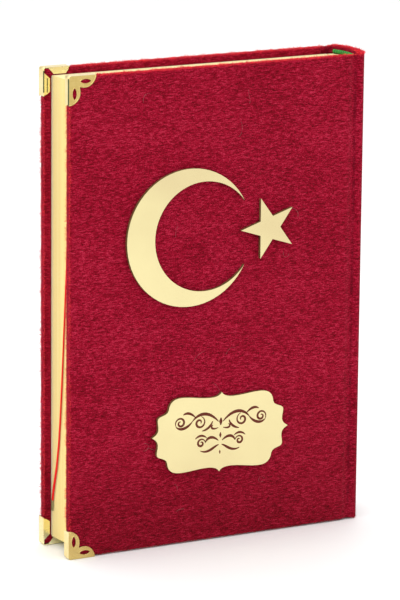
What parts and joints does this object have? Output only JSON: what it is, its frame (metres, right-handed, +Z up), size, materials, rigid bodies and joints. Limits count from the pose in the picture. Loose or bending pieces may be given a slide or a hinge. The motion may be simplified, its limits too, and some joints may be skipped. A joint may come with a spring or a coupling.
{
  "type": "prayer book",
  "caption": "Velvet case-bound prayer book standing on its tail edge, with hinged covers, sewn sections that fan, a ribbon bookmark, brass corner caps and gold cover ornaments.",
  "frame": {"origin": "middle of the underside of the bounding box, on the surface the book stands on", "axes": "+Z up, from tail to head; -Y out of the front cover; +X towards the spine, so the fore-edge is at -X"},
  "size_m": [0.1398, 0.029, 0.2],
  "materials": {
    "velvet": "crimson cotton velvet, short pile, matt with a soft sheen",
    "board": "grey bookbinder's board, hidden under the cloth",
    "mull": "open-weave cotton spine lining, unbleached",
    "green_silk": "green headband silk with pale flecks, satin",
    "red_satin": "narrow red satin ribbon",
    "paper": "cream text paper, smooth cut edges",
    "endpaper": "plain cream endpaper, matt",
    "brass": "bright stamped sheet brass, pierced and embossed",
    "gold_mirror": "gold mirror acrylic, polished, clean cut edges"
  },
  "bodies": {
    "block_and_spine": {"spine_velvet": "velvet", "spine_board": "board", "spine_lining": "mull", "headband": "green_silk", "tailband": "green_silk", "ribbon_bookmark": "red_satin", "section_03": "paper", "section_04": "paper", "section_05": "paper", "section_06": "paper", "section_07": "paper", "section_08": "paper", "section_09": "paper", "section_10": "paper", "section_11": "paper", "section_12": "paper", "section_13": "paper", "section_14": "paper", "section_15": "paper", "section_16": "paper", "section_17": "paper"},
    "front_cover": {"front_velvet": "velvet", "front_board": "board", "front_pastedown": "endpaper", "front_corner_head": "brass", "front_corner_tail": "brass", "crescent": "gold_mirror", "star": "gold_mirror", "name_plate": "gold_mirror"},
    "front_leaf": {"front_flyleaf": "endpaper"},
    "first_section": {"section_01": "paper"},
    "second_section": {"section_02": "paper"},
    "back_cover": {"back_velvet": "velvet", "back_board": "board", "back_pastedown": "endpaper", "back_corner_head": "brass", "back_corner_tail": "brass"},
    "back_leaf": {"back_flyleaf": "endpaper"},
    "last_section": {"section_20": "paper"},
    "second_last_section": {"section_19": "paper"},
    "third_last_section": {"section_18": "paper"}
  },
  "joints": [
    {"name": "front_cover_hinge", "type": "hinge", "parent": "block_and_spine", "child": "front_cover", "pos_m": [0.06195, -0.01287, 0], "axis": [0, 0, 1], "range_deg": [0, 180]},
    {"name": "front_flyleaf_turn", "type": "hinge", "parent": "block_and_spine", "child": "front_leaf", "pos_m": [0.06145, -0.00903, 0], "axis": [0, 0, 1], "range_deg": [0, 90]},
    {"name": "section_01_turn", "type": "hinge", "parent": "block_and_spine", "child": "first_section", "pos_m": [0.06115, -0.00831, 0], "axis": [0, 0, 1], "range_deg": [0, 72]},
    {"name": "section_02_turn", "type": "hinge", "parent": "block_and_spine", "child": "second_section", "pos_m": [0.06115, -0.00739, 0], "axis": [0, 0, 1], "range_deg": [0, 50.4]},
    {"name": "back_cover_hinge", "type": "hinge", "parent": "block_and_spine", "child": "back_cover", "pos_m": [0.06195, 0.01418, 0], "axis": [0, 0, -1], "range_deg": [0, 180]},
    {"name": "back_flyleaf_turn", "type": "hinge", "parent": "block_and_spine", "child": "back_leaf", "pos_m": [0.06145, 0.01033, 0], "axis": [0, 0, -1], "range_deg": [0, 90]},
    {"name": "section_20_turn", "type": "hinge", "parent": "block_and_spine", "child": "last_section", "pos_m": [0.06115, 0.00962, 0], "axis": [0, 0, -1], "range_deg": [0, 72]},
    {"name": "section_19_turn", "type": "hinge", "parent": "block_and_spine", "child": "second_last_section", "pos_m": [0.06115, 0.00869, 0], "axis": [0, 0, -1], "range_deg": [0, 54]},
    {"name": "section_18_turn", "type": "hinge", "parent": "block_and_spine", "child": "third_last_section", "pos_m": [0.06115, 0.00777, 0], "axis": [0, 0, -1], "range_deg": [0, 36]}
  ],
  "couplings": [
    {"joint": "front_flyleaf_turn", "follows": "front_cover_hinge", "ratio": 0.5},
    {"joint": "section_01_turn", "follows": "front_cover_hinge", "ratio": 0.4},
    {"joint": "section_02_turn", "follows": "front_cover_hinge", "ratio": 0.28},
    {"joint": "back_flyleaf_turn", "follows": "back_cover_hinge", "ratio": 0.5},
    {"joint": "section_20_turn", "follows": "back_cover_hinge", "ratio": 0.4},
    {"joint": "section_19_turn", "follows": "back_cover_hinge", "ratio": 0.3},
    {"joint": "section_18_turn", "follows": "back_cover_hinge", "ratio": 0.2}
  ]
}
